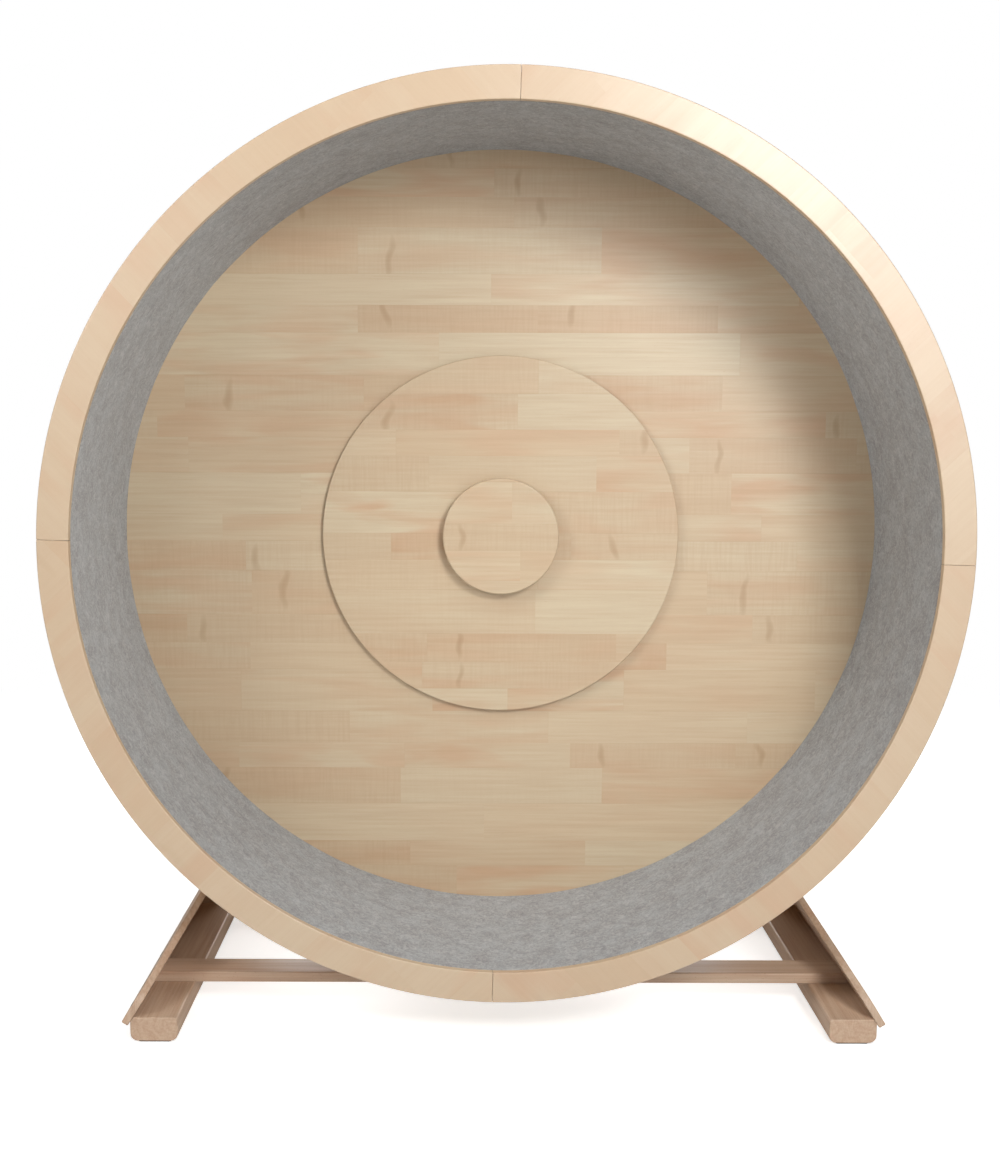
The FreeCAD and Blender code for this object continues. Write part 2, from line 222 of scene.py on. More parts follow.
def woodMaterial(name, look):
    # A board of glued strips. The attribute holds each point's place along, across and through the board.
    # Every strip has its own tint and its own piece of grain: growth bands as contours of a long soft noise,
    # fine streaks, rosy clouds, a curly figure across the grain, and a brown wisp near the end of a few.
    f = figure
    material, tree = newMaterial(name)
    place = addNode(tree, "Attribute", attribute_name="boardPlace").outputs["Vector"]
    parts = addNode(tree, "SeparateXYZ", (place,)).outputs
    width, length = (size * mm for size in look["strip"])

    # strips of uneven width: across / w + sway sin(2 pi across / (swayEvery w)) is cut at every whole number
    turns = addNode(tree, "Math", (parts[1], 2 * pi / (f["swayEvery"] * width)), operation="MULTIPLY")
    sway = addNode(tree, "Math", (turns,), operation="SINE")
    even = addNode(tree, "Math", (parts[1], width), operation="DIVIDE")
    rows = addNode(tree, "Math", (sway, f["sway"], even), operation="MULTIPLY_ADD")
    row = addNode(tree, "Math", (rows,), operation="FLOOR")
    rowChance = addNode(tree, "TexWhiteNoise", {"W": row}, noise_dimensions="1D")
    density = addNode(tree, "Math", (rowChance, f["more"] / length, f["fewest"] / length),
                      operation="MULTIPLY_ADD")
    stagger = addNode(tree, "Math", (rowChance, f["stagger"]), operation="MULTIPLY")
    runs = addNode(tree, "Math", (parts[0], density, stagger), operation="MULTIPLY_ADD")
    run = addNode(tree, "Math", (runs,), operation="FLOOR")
    strip = addNode(tree, "CombineXYZ", (row, run))
    chance = addNode(tree, "TexWhiteNoise", {"Vector": strip}, noise_dimensions="2D").outputs["Color"]
    chances = addNode(tree, "SeparateColor", (chance,)).outputs
    ownPlace = addNode(tree, "VectorMath", (chance, f["ownShift"], place), operation="MULTIPLY_ADD")
    noises = addPatterns(tree, ownPlace, look, f["patterns"])
    boardNoises = addPatterns(tree, place, boardSizes, boardPatterns)

    cloudy = addNode(tree, "MapRange", (noises["clouds"], *f["cloudy"]))
    rosiness = addNode(tree, "MapRange", (chances[1], *f["rosyStrips"], f["leastRosy"], look["rosiness"]))
    rosy = addNode(tree, "Math", (cloudy, rosiness), operation="MULTIPLY")
    contour = addNode(tree, "Math", (noises["bands"], look["bandCount"] * 2 * pi), operation="MULTIPLY")
    bands = addNode(tree, "Math", (contour,), operation="SINE")
    lines = addNode(tree, "Math", (noises["fine"], f["fineShare"], noises["streaks"]),
                    operation="MULTIPLY_ADD")
    figured = addNode(tree, "Math", (bands, look["bandShare"], lines), operation="MULTIPLY_ADD")
    grain = addNode(tree, "MapRange", (figured, *f["grainy"], 0.0, look["grainDepth"]))
    twoChances = addNode(tree, "Math", (rowChance, chances[2]), operation="ADD")
    shade = addNode(tree, "MapRange", (twoChances, *f["shaded"], 0.0, look["shadeDepth"]))
    curly = addNode(tree, "MapRange", (noises["curl"], *f["curly"]))
    curlDepth = addNode(tree, "MapRange", (chances[2], *f["curlyStrips"], 0.0, look["curlDepth"]))
    curl = addNode(tree, "Math", (curly, curlDepth), operation="MULTIPLY")
    flecks = addNode(tree, "MapRange", (noises["flecks"], *f["flecked"], 0.0, look["fleckDepth"]))

    # the wisp: an oval a little way into the strip, pulled about by a noise
    pull = addNode(tree, "MapRange", (boardNoises["pull"], *f["pulling"], -f["pull"], f["pull"]))
    inRun = addNode(tree, "Math", (runs,), operation="FRACT")
    perMillimetre = addNode(tree, "Math", (density, mm), operation="MULTIPLY")
    fromEnd = addNode(tree, "Math", (inRun, perMillimetre), operation="DIVIDE")
    start = addNode(tree, "MapRange", (chances[1], 0.0, 1.0, *f["wispStart"]))
    beyond = addNode(tree, "Math", (fromEnd, start), operation="SUBTRACT")
    ahead = addNode(tree, "Math", (pull, beyond), operation="ADD")
    inRow = addNode(tree, "Math", (rows,), operation="FRACT")
    middle = addNode(tree, "MapRange", (chances[0], 0.0, 1.0, *f["wispAside"]))
    aside = addNode(tree, "Math", (inRow, middle), operation="SUBTRACT")
    shares = (addNode(tree, "Math", (ahead, f["wisp"][0]), operation="DIVIDE"),
              addNode(tree, "Math", (aside, width / mm / f["wisp"][1]), operation="MULTIPLY"))
    squares = [addNode(tree, "Math", (share, 2.0), operation="POWER") for share in shares]
    oval = addNode(tree, "Math", squares, operation="ADD")
    dark = addNode(tree, "MapRange", (oval, 0.0, f["wispFade"], look["wispDepth"], 0.0))
    fewStrips = addNode(tree, "Math", (chances[2], look["wispsFrom"]), operation="GREATER_THAN")
    wisp = addNode(tree, "Math", (dark, fewStrips), operation="MULTIPLY")

    # glue lines, drawn about a millimetre wide so that they show at a distance
    seamEdges = []
    cuts = ((rows, width, f["seamSide"], 1.0), (runs, length, f["seamEnd"], f["endShare"]))
    for count, size, reaches, most in cuts:
        distance = addNode(tree, "Math", (count, 0.5), operation="PINGPONG")
        near, far = (reach * mm / size for reach in reaches)
        seamEdges.append(addNode(tree, "MapRange", (distance, near, far, most, 0.0)))
    lined = addNode(tree, "Math", seamEdges, operation="MAXIMUM")
    uneven = addNode(tree, "MapRange", (boardNoises["uneven"], *f["seamSeen"]))
    seam = addNode(tree, "Math", (lined, uneven), operation="MULTIPLY")
    seamTone = addNode(tree, "Math", (seam, look["seamDepth"]), operation="MULTIPLY")

    tone = addNode(tree, "Mix", {0: chances[0], 6: hexColour(look["pale"]), 7: hexColour(look["warm"])},
                   data_type="RGBA")
    tone = layered(tree, tone, look, ((rosy, "rosy"), (grain, "grain"), (shade, "grain"), (curl, "grain"),
                                      (flecks, "fleck"), (wisp, "wisp"), (seamTone, "wisp")))
    smooth, dull = (look["rough"] + change for change in f["roughChange"])
    rough = addNode(tree, "MapRange", (noises["streaks"], *f["worn"], smooth, dull))
    sunk = addNode(tree, "Math", (seam, look["seamDepth"] * f["seamRelief"], flecks),
                   operation="MULTIPLY_ADD")
    height = addNode(tree, "Math", (noises["streaks"], sunk), operation="SUBTRACT")
    bump = addNode(tree, "Bump", {"Height": height, "Strength": look["relief"],
                                  "Distance": f["bumpDepth"] * mm})
    wood = addNode(tree, "BsdfPrincipled", {"Base Color": tone, "Roughness": rough, "Normal": bump,
                                            "Specular IOR Level": look["gloss"], "Coat Weight": look["coat"],
                                            "Coat Roughness": look["coatRough"]})
    addNode(tree, "OutputMaterial", (wood,))
    return material


# Edge-glued maple under satin lacquer: pale beige strips about 46 mm wide, some a little pinker.
mapleLook = {
    "strip": (46, 290), "pale": "#d0c1a4", "warm": "#cdb798", "rosy": "#c9a787", "clouds": (150, 26, 26),
    "rosiness": 0.95, "grain": "#b49271", "bands": (420, 40, 40), "bandCount": 4.0, "bandShare": 0.08,
    "streaks": (150, 4.2, 4.2), "fine": (34, 1.1, 1.1), "grainDepth": 0.34, "shadeDepth": 0.24,
    "curl": (3.4, 60, 60), "curlDepth": 0.2, "fleck": "#b08a66", "flecks": (6, 1.1, 1.1), "fleckDepth": 0.15,
    "wisp": "#9d7853", "wispDepth": 0.38, "wispsFrom": 0.68, "seamDepth": 0.16, "rough": 0.44, "relief": 0.25,
    "gloss": 0.5, "coat": 0.3, "coatRough": 0.34,
}
# The rim is cut from the same board and lacquered glossier, so its figure is quieter. Its tints are darker
# than the board's own, and that darkening is painted shade taken from the ring's shaded lower side; the
# lamps' sheen on the glossy coat brightens the rest.
rimLook = {
    **mapleLook, "strip": (74, 240), "pale": "#c7b297", "warm": "#c4ac8f", "rosy": "#c2a285",
    "clouds": (110, 40, 40), "grainDepth": 0.16, "shadeDepth": 0.16, "wispDepth": 0.1, "curlDepth": 0.04,
    "seamDepth": 0.05, "coat": 1.0,
}
# Planed beech: pinkish grey tan, straight fine grain, and the short brown ray flecks that beech is known by.
beechLook = {
    "strip": (400, 4000), "pale": "#c6b09b", "warm": "#c0a389", "rosy": "#ba9378", "clouds": (240, 30, 30),
    "rosiness": 0.6, "grain": "#a27c62", "bands": (700, 26, 26), "bandCount": 6.0, "bandShare": 0.12,
    "streaks": (160, 2.6, 2.6), "fine": (36, 0.7, 0.7), "grainDepth": 0.5, "shadeDepth": 0.0,
    "curl": (4, 50, 50), "curlDepth": 0.0, "fleck": "#8a654b", "flecks": (3.2, 0.8, 0.8), "fleckDepth": 0.6,
    "wisp": "#6e4a33", "wispDepth": 0.0, "wispsFrom": 1.0, "seamDepth": 0.0, "rough": 0.5, "relief": 0.4,
    "gloss": 0.45, "coat": 0.0, "coatRough": 0.4,
}
# Birch plywood bent round the drum: the face veneer's grain runs along the axle.
birchLook = {
    **beechLook, "strip": (620, 5000), "pale": "#dccaa8", "warm": "#d0ba94", "rosy": "#cbb08c",
    "grain": "#b19168", "fleck": "#aa885e", "fleckDepth": 0.25,
}

edgeGluedMaple = woodMaterial("edge-glued maple board", mapleLook)
rimMaple = woodMaterial("sanded maple rim", rimLook)
planedBeech = woodMaterial("planed beech", beechLook)
bentBirch = woodMaterial("bent birch plywood", birchLook)


# Needle felt of grey and white wool. A layer is a noise, where it starts and ends, its depth and its colour.
feltLook = {
    "grey": "#949495", "cool": "#a1a4a6", "white": "#cfcecb", "charcoal": "#757373",
    "patterns": {"clouds": (2.0, 0.4), "tufts": (2.0, 1.6), "lengthwise": (3.0, 2.2),
                 "crosswise": (3.0, 3.0)},
    "clouds": (26, 26, 26), "tufts": (7, 7, 7), "lengthwise": (2.4, 11.0, 2.4), "crosswise": (1.6, 1.6, 1.6),
    "cloudy": (0.35, 0.66),
    "layers": (("tufts", 0.5, 0.72, 0.35, "white"), ("tufts", 0.5, 0.3, 0.45, "charcoal"),
               ("lengthwise", 0.54, 0.74, 0.35, "white"), ("crosswise", 0.58, 0.76, 0.2, "white")),
    "crossShare": 0.6, "relief": 0.5, "bumpDepth": 0.5, "rough": 0.96, "gloss": 0.12,
    "sheen": 0.25, "sheenRough": 0.6, "sheenTint": (0.9, 0.9, 0.9, 1),
}


def feltMaterial(name, look):
    # soft clouds of tone, pale and dark tufts, a mat of crossing fibres and a dry sheen
    material, tree = newMaterial(name)
    place = addNode(tree, "TexCoord").outputs["Object"]
    noises = addPatterns(tree, place, look, look["patterns"])
    cloudy = addNode(tree, "MapRange", (noises["clouds"], *look["cloudy"]))
    tone = addNode(tree, "Mix", {0: cloudy, 6: hexColour(look["grey"]), 7: hexColour(look["cool"])},
                   data_type="RGBA")
    layers = [(addNode(tree, "MapRange", (noises[pattern], start, end, 0.0, depth)), colour)
              for pattern, start, end, depth, colour in look["layers"]]
    tone = layered(tree, tone, look, layers)
    mat = addNode(tree, "Math", (noises["crosswise"], look["crossShare"], noises["tufts"]),
                  operation="MULTIPLY_ADD")
    nap = addNode(tree, "Math", (noises["lengthwise"], mat), operation="ADD")
    bump = addNode(tree, "Bump", {"Height": nap, "Strength": look["relief"],
                                  "Distance": look["bumpDepth"] * mm})
    wool = addNode(tree, "BsdfPrincipled", {"Base Color": tone, "Roughness": look["rough"], "Normal": bump,
                                            "Specular IOR Level": look["gloss"],
                                            "Sheen Weight": look["sheen"],
                                            "Sheen Roughness": look["sheenRough"],
                                            "Sheen Tint": look["sheenTint"]})
    addNode(tree, "OutputMaterial", (wool,))
    return material


# What all the metals share, and then what the rubbers share, in the same terms.
metalLook = {
    "patterns": {"marks": (3.0, 0.0), "patches": (2.0, 0.0)}, "patches": (14, 14, 14), "worn": (0.35, 0.7),
    "patchShare": 0.5, "roughed": (0.55, 1.0), "roughChange": (-0.08, 0.1), "bumpDepth": 0.1,
}
rubberLook = {
    "patterns": {"grain": (2.0, 0.0), "dust": (3.0, 0.0)}, "grain": (0.9, 0.9, 0.9), "dust": (12, 12, 12),
    "settled": (0.4, 0.75), "grained": (0.3, 0.7), "rough": (0.62, 0.8), "relief": 0.5, "bumpDepth": 0.15,
    "gloss": 0.35,
}


def metalMaterial(name, look):
    # A metal's colour with the marks its making leaves, in turned rings or as cast grain, and duller patches.
    material, tree = newMaterial(name)
    place = addNode(tree, "TexCoord").outputs["Object"]
    look = {**metalLook, **look}
    noises = addPatterns(tree, place, look, look["patterns"])
    worn = addNode(tree, "MapRange", (noises["patches"], *look["worn"]))
    tone = addNode(tree, "Mix", {0: worn, 6: hexColour(look["bright"]), 7: hexColour(look["dull"])},
                   data_type="RGBA")
    share = addNode(tree, "Math", (noises["patches"], look["patchShare"]), operation="MULTIPLY")
    both = addNode(tree, "Math", (noises["marks"], share), operation="ADD")
    smooth, dull = (look["rough"] + change for change in look["roughChange"])
    rough = addNode(tree, "MapRange", (both, *look["roughed"], smooth, dull))
    bump = addNode(tree, "Bump", {"Height": noises["marks"], "Strength": look["relief"],
                                  "Distance": look["bumpDepth"] * mm})
    metal = addNode(tree, "BsdfPrincipled", {"Base Color": tone, "Metallic": 1.0, "Roughness": rough,
                                             "Normal": bump})
    addNode(tree, "OutputMaterial", (metal,))
    return material


def rubberMaterial(name, look):
    # Dark rubber with a fine moulded grain, slightly greyed where it has picked up dust.
    material, tree = newMaterial(name)
    place = addNode(tree, "TexCoord").outputs["Object"]
    look = {**rubberLook, **look}
    noises = addPatterns(tree, place, look, look["patterns"])
    settled = addNode(tree, "MapRange", (noises["dust"], *look["settled"]))
    tone = addNode(tree, "Mix", {0: settled, 6: hexColour(look["dark"]), 7: hexColour(look["dusty"])},
                   data_type="RGBA")
    rough = addNode(tree, "MapRange", (noises["grain"], *look["grained"], *look["rough"]))
    bump = addNode(tree, "Bump", {"Height": noises["grain"], "Strength": look["relief"],
                                  "Distance": look["bumpDepth"] * mm})
    rubber = addNode(tree, "BsdfPrincipled", {"Base Color": tone, "Roughness": rough, "Normal": bump,
                                              "Specular IOR Level": look["gloss"]})
    addNode(tree, "OutputMaterial", (rubber,))
    return material


needleFelt = feltMaterial("grey needle felt", feltLook)
castAluminium = metalMaterial("cast aluminium", {"bright": "#b9bbbd", "dull": "#a3a5a8", "rough": 0.48,
                                                 "marks": (1.2, 1.2, 1.2), "relief": 0.35})
groundSteel = metalMaterial("ground bearing steel", {"bright": "#c6c6c6", "dull": "#b4b5b6", "rough": 0.2,
                                                     "marks": (0.5, 6.0, 0.5), "relief": 0.08})
zincedSteel = metalMaterial("zinc-plated steel", {"bright": "#c4c8cb", "dull": "#a9adb2", "rough": 0.36,
                                                  "marks": (2.0, 2.0, 2.0), "relief": 0.12})
padRubber = rubberMaterial("anti-slip rubber", {"dark": "#1d1b1a", "dusty": "#3a3735"})
sealRubber = rubberMaterial("bearing seal rubber", {"dark": "#141414", "dusty": "#222222"})
print("materials made")


def roundedLoop(corners, steps=5):
    # A closed outline from corners (a, b, radius), anticlockwise. Each corner becomes a tangent arc: the
    # heading turns evenly from the side before it to the side after it. Gives the points and their outward
    # normals.
    corners = np.array(corners, float)
    spots, radius = corners[:, :2], corners[:, 2]
    ahead = np.roll(spots, -1, axis=0) - spots
    ahead /= np.linalg.norm(ahead, axis=1)[:, None]
    behind = np.roll(ahead, 1, axis=0)
    turn = np.arctan2(behind[:, 0] * ahead[:, 1] - behind[:, 1] * ahead[:, 0], (behind * ahead).sum(1))
    signed = np.sign(turn) * radius
    start = spots - behind * (radius * np.tan(np.abs(turn) / 2))[:, None]
    first = np.arctan2(behind[:, 1], behind[:, 0])
    centre = start + signed[:, None] * np.stack([-np.sin(first), np.cos(first)], 1)
    heading = first[:, None] + turn[:, None] * np.linspace(0, 1, steps + 1)
    outward = np.stack([np.sin(heading), -np.cos(heading)], 2)
    points = centre[:, None] + signed[:, None, None] * outward
    return points.reshape(-1, 2), outward.reshape(-1, 2)


def boxLoop(left, far, low, high, rounds, steps=5):
    # a rectangle's outline from left to far and from low to high; rounds is one radius, or one per corner
    corners = ((left, low), (far, low), (far, high), (left, high))
    radii = np.broadcast_to(rounds, 4)
    return roundedLoop([(*corner, radius) for corner, radius in zip(corners, radii)], steps)


def circleLoop(radius, steps=256):
    # a round outline: a = r cos t, b = r sin t
    t = np.linspace(0, 2 * pi, steps, endpoint=False)
    outward = np.stack([np.cos(t), np.sin(t)], 1)
    return outward * radius, outward


def softEnds(start, end, radius, steps=4):
    # Stations (distance, inset) from start to end. At each end the outline closes in along a quarter circle.
    t = np.linspace(0, pi / 2, steps + 1)
    rise, inset = radius * (1 - np.cos(t)), radius * (1 - np.sin(t))
    return np.concatenate([np.stack([start + rise, inset], 1), np.stack([end - rise, inset], 1)[::-1]])


def allRound(steps=360):
    # stations at even angles right round, with no inset
    turns = np.linspace(0, 2 * pi, steps, endpoint=False)
    return np.stack([turns, turns * 0], 1)


def aboutAxle(radius, depth, angle):
    # x = r cos t, z = r sin t, about the axle
    return radius * np.cos(angle), depth, axleHeight + radius * np.sin(angle)


def alongAxle(a, b, depth):
    # an outline drawn about the axle and carried backwards
    return a, depth, axleHeight + b


def backwards(x, z, depth):
    return x, depth, z


def gridFaces(rows, columns, closed=False):
    # the four-sided faces of a grid that closes along its columns, and along its rows too if closed
    row, column = np.arange(rows if closed else rows - 1)[:, None], np.arange(columns)[None]
    nextRow, nextColumn = (row + 1) % rows, (column + 1) % columns
    return np.stack([row * columns + column, row * columns + nextColumn,
                     nextRow * columns + nextColumn, nextRow * columns + column], -1).reshape(-1, 4)


def inMetres(x, depth, z):
    # arrays of x, depth and height as one list of vertices
    return np.stack([x, depth + frontFace, z], -1).reshape(-1, 3) * mm


def carried(name, loop, stations, place, closed=False):
    # An outline carried along a path. At each station it is moved inwards by the inset, and place turns
    # (a, b, distance) into x, depth and z. Open ends are closed by flat caps.
    points, outward = loop
    stations = np.array(stations, float)
    shrunk = points[None] - stations[:, 1, None, None] * outward[None]
    distance = np.repeat(stations[:, :1], len(points), axis=1)
    vertices = inMetres(*np.broadcast_arrays(*place(shrunk[..., 0], shrunk[..., 1], distance)))
    rows, columns = len(stations), len(points)
    caps = [] if closed else [list(range(columns))[::-1], list(range((rows - 1) * columns, rows * columns))]
    return newSolid(name, vertices, gridFaces(rows, columns, closed), caps)


def turnedRound(name, profile, steps=96, wave=None):
    # A closed profile of (radius, depth) turned about the axle. wave changes each radius by the angle.
    profile = np.array(profile, float)
    angle = np.linspace(0, 2 * pi, steps, endpoint=False)
    radius, turn = np.broadcast_arrays(profile[:, :1], angle[None])
    depth = np.repeat(profile[:, 1:], steps, axis=1)
    if wave:
        radius = wave(radius, turn, depth)
    vertices = inMetres(*aboutAxle(radius, depth, turn))
    return newSolid(name, vertices, gridFaces(len(profile), steps, closed=True))


def newSolid(name, vertices, sides, caps=()):
    # The faces are turned round if the enclosed volume, a sum of triple products, comes out negative.
    corners = vertices[sides]
    volume = sum((corners[:, 0] * np.cross(corners[:, i], corners[:, i + 1])).sum() for i in (1, 2))
    for cap in caps:
        ring = vertices[np.array(cap)]
        volume += (ring[0] * np.cross(ring[1:-1], ring[2:])).sum()
    faces = sides.tolist() + [list(cap) for cap in caps]
    if volume < 0:
        faces = [face[::-1] for face in faces]
    return newPiece(name, vertices, faces)


def newPiece(name, vertices, faces):
    mesh = bpy.data.meshes.new(name)
    mesh.from_pydata(vertices.tolist(), [], faces)
    mesh.validate()
    mesh.shade_smooth()
    piece = bpy.data.objects.new(name, mesh)
    bpy.context.scene.collection.objects.link(piece)
    return piece


def crispShading(piece):
    # Big flat faces keep their own normals, so that only the rounded edges shade round.
    piece.data.set_sharp_from_angle(angle=radians(50))
    weighted = piece.modifiers.new("flat faces first", "WEIGHTED_NORMAL")
    weighted.keep_sharp = True
    weighted.weight = 100


def grainOn(piece, along, across, shift=(0, 0, 0)):
    # Stores each point's place along, across and through its board, in metres, for the wood materials.
    along, across = np.array(along, float), np.array(across, float)
    spots = np.empty(len(piece.data.vertices) * 3)
    piece.data.vertices.foreach_get("co", spots)
    basis = np.stack([along, across, np.cross(along, across)])
    values = spots.reshape(-1, 3) @ basis.T + shift
    layer = piece.data.attributes.new("boardPlace", "FLOAT_VECTOR", "POINT")
    layer.data.foreach_set("vector", values.ravel())


def dress(piece, material, slot, body, *nodes):
    # gives a new piece its material, its body, and the CAD nodes that it stands for; the slot is not used
    piece.data.materials.append(material)
    crispShading(piece)
    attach(piece, body)
    if nodes:
        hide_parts(*nodes)
    return piece


# The head's under and rim are shares of its radius, and the recess's mouth and floor of the recess.
screw = {"radius": 4.2, "under": 0.9, "rim": 0.95, "proud": 0.35, "crown": 0.25, "sink": 0.6, "recess": 1.5,
         "mouth": 1.5, "floor": 1.2, "lobes": 0.3, "steps": 20}


def screwHeads(name, spots, body):
    # Countersunk heads, set just proud. spots are (x, depth, z, outward, sideways). Each head is a shallow
    # dome with a four-lobed recess: radius r (1 + lobes cos 4t) in its two inner rows.
    w = screw
    edge, recess = w["radius"], w["recess"]
    radius = np.array([edge * w["under"], edge, edge * w["rim"], recess * w["mouth"], recess * w["floor"]])
    height = np.array([-w["sink"], 0.0, w["proud"] - w["crown"] / 2, w["proud"], w["proud"] - w["crown"]])
    lobes = np.array([0, 0, 0, w["lobes"], w["lobes"]])
    t = np.linspace(0, 2 * pi, w["steps"], endpoint=False)
    reach = radius[:, None] * (1 + lobes[:, None] * np.cos(4 * t))
    sides = gridFaces(len(radius), w["steps"])
    vertices, faces = [], []
    for index, (x, depth, z, outward, sideways) in enumerate(spots):
        outward, sideways = np.array(outward, float), np.array(sideways, float)
        other = np.cross(outward, sideways)
        local = (reach[..., None] * (np.cos(t)[:, None] * sideways + np.sin(t)[:, None] * other)
                 + height[:, None, None] * outward)
        vertices.append((local.reshape(-1, 3) + (x, depth + frontFace, z)) * mm)
        first = index * reach.size
        faces += (sides + first).tolist()
        faces += [list(range(first, first + w["steps"]))[::-1],
                  list(range(first + reach.size - w["steps"], first + reach.size))]
    return dress(newPiece(name, np.concatenate(vertices), faces), zincedSteel, "zinc_steel", body)


rim = {"outer": 550.0, "width": 38.0, "thickness": 9.0, "turn": 1.45, "gap": 0.4, "edge": 1.3,
       "jointEdge": 0.35, "stations": 82}


def makeRim():
    # each quarter is a rounded rectangle carried along its arc; its grain follows the quarter's middle radius
    outer = rim["outer"]
    loop = boxLoop(outer - rim["width"], outer, 0, rim["thickness"], rim["edge"])
    for quarter in range(4):
        start = radians(90 * quarter - rim["turn"]) + rim["gap"] / 2 / outer
        end = start + pi / 2 - rim["gap"] / outer
        ends = softEnds(start * outer, end * outer, rim["jointEdge"], 2)
        middle = np.linspace(start, end, rim["stations"])[1:-1] * outer
        stations = np.concatenate([ends[:3], np.stack([middle, middle * 0], 1), ends[3:]])
        piece = carried(f"rim_board_{quarter + 1}", loop, stations,
                        lambda radius, depth, arc: aboutAxle(radius, depth, arc / outer))
        way = (start + end) / 2
        grainOn(piece, (cos(way), 0, sin(way)), (-sin(way), 0, cos(way)), (0.7 * quarter, 0.013 * quarter, 0))
        dress(piece, rimMaple, "rim_board", "wheel", f"rim_quarter_{quarter + 1}")


track = {"inner": 516.1, "outer": 519.6, "front": 9.0, "back": 269.0, "edge": 0.2}
felt = {"inner": 512.0, "outer": 516.0, "front": 9.2, "back": 268.8, "edge": 1.0, "backEdge": 0.3,
        "wave": 0.25, "rows": 56, "margin": 4, "steps": 720,
        "waves": ((23, 31), (41, -17), (11, inf))}    # how many, and how far back for each radian of shift


def makeTrack():
    # the bent plywood is a thin rectangle carried right round the axle
    loop = boxLoop(track["inner"], track["outer"], track["front"], track["back"], track["edge"], 2)
    shell = carried("track_ply", loop, allRound(), aboutAxle, closed=True)
    grainOn(shell, back, right)
    dress(shell, bentBirch, "birch_ply", "wheel", "track_shell")

    # the felt is a soft-edged strip whose inner face rises and falls a little where it is glued
    f = felt
    ends, outward = boxLoop(f["inner"], f["outer"], f["front"], f["back"],
                            (f["edge"], f["edge"] * 0.6, f["backEdge"], f["backEdge"]), 4)
    steps = np.linspace(f["back"] - f["margin"], f["front"] + f["margin"], f["rows"])
    face = np.stack([np.full(f["rows"], f["inner"]), steps], 1)
    loop = (np.concatenate([ends, face]), np.concatenate([outward, np.tile((-1.0, 0.0), (f["rows"], 1))]))
    middle = (f["inner"] + f["outer"]) / 2

    def soft(radius, depth, angle):
        # the mean of the waves, each sin(count angle + depth / slope), on the inner face only
        swell = sum(np.sin(count * angle + depth / slope) for count, slope in f["waves"]) / len(f["waves"])
        return aboutAxle(radius + (radius < middle) * f["wave"] * swell, depth, angle)

    lining = carried("track_felt", loop, allRound(f["steps"]), soft, closed=True)
    dress(lining, needleFelt, "grey_felt", "wheel", "track_lining")


panel = {"outer": 550.0, "bore": 22.0, "front": 269.0, "back": 284.0, "edge": 1.5, "boreEdge": 0.3}
hubDisc = {"outer": 242.5, "bore": 61.0, "front": 260.0, "back": 269.0, "edge": 1.4, "boreEdge": 0.3}
hubCap = {"outer": 78.5, "front": 242.0, "back": 260.0, "edge": 2.0}


def makeBoards():
    # flat rings: a rounded rectangle of radius and depth carried round the axle
    for name, board, node, shift in (("panel_board", panel, "back_panel", (0.42, 0.006, 0.2)),
                                     ("hub_disc_board", hubDisc, "hub_disc", (1.91, 0.031, 0.5))):
        rounds = (board["boreEdge"], board["edge"], board["edge"], board["boreEdge"])
        loop = boxLoop(board["bore"], board["outer"], board["front"], board["back"], rounds)
        piece = carried(name, loop, allRound(), aboutAxle, closed=True)
        grainOn(piece, right, up, shift)
        dress(piece, edgeGluedMaple, "plank_board", "wheel", node)
    # the cap is a circle carried from front to back
    cap = carried("hub_cap_board", circleLoop(hubCap["outer"]),
                  softEnds(hubCap["front"], hubCap["back"], hubCap["edge"]), alongAxle)
    grainOn(cap, right, up, (3.07, 0.017, 0.9))
    dress(cap, edgeGluedMaple, "plank_board", "wheel", "hub_cap")


batten = {"count": 8, "inner": 519.8, "height": 28.0, "width": 44.0, "bevel": 4.0, "front": 9.0,
          "back": 269.0, "round": 0.8, "innerRound": 0.4, "endRound": 0.3}
panelScrews = {"radius": 533.8, "offset": 11.0, "turn": 0.7}


def battenTurn(index):
    return radians(360 / batten["count"] * (index + 0.5) - rim["turn"])


def fromAxle(out, side, turn):
    # x and z of a point that lies out along a turned direction and aside from it
    return out * cos(turn) - side * sin(turn), axleHeight + out * sin(turn) + side * cos(turn)


def makeBattens():
    b = batten
    outer, half, bevel, soft = b["inner"] + b["height"], b["width"] / 2, b["bevel"], b["round"]
    stations = softEnds(b["front"], b["back"], b["endRound"], 2)
    loop = roundedLoop([(b["inner"], -half, b["innerRound"]), (outer - bevel, -half, soft),
                        (outer, bevel - half, soft), (outer, half - bevel, soft), (outer - bevel, half, soft),
                        (b["inner"], half, b["innerRound"])], 3)
    for index in range(b["count"]):
        turn = battenTurn(index)

        def place(out, side, depth):
            x, z = fromAxle(out, side, turn)
            return x, depth, z

        piece = carried(f"batten_bar_{index + 1}", loop, stations, place)
        grainOn(piece, back, (-sin(turn), 0, cos(turn)), (0.53 * index, 0, 0))
        dress(piece, planedBeech, "batten_maple", "wheel", f"batten_{index + 1}")


def makePanelScrews():
    # two through the panel into each batten, each recess turned a little further than the last
    spots = []
    for index in range(batten["count"]):
        for offset in (-panelScrews["offset"], panelScrews["offset"]):
            x, z = fromAxle(panelScrews["radius"], offset, battenTurn(index))
            angle = panelScrews["turn"] * len(spots)
            spots.append((x, panel["back"], z, back, (cos(angle), 0, sin(angle))))
    screwHeads("panel_screws", spots, "wheel")


housing = {"bore": 26.02, "land": 22.0, "outer": 36.0, "front": 284.0, "back": 350.0, "flange": 96.0,
           "cut": 12.0, "corner": 3.0, "flangeBack": 294.0, "lap": 1, "fillet": 5.0, "chamfer": 1.5,
           "boreChamfer": 0.8, "bearing": 15.0, "edge": 1.6}
seal = {"inner": 17.6, "outer": 24.2, "proud": 0.25, "sink": 0.6, "bevel": 0.4}


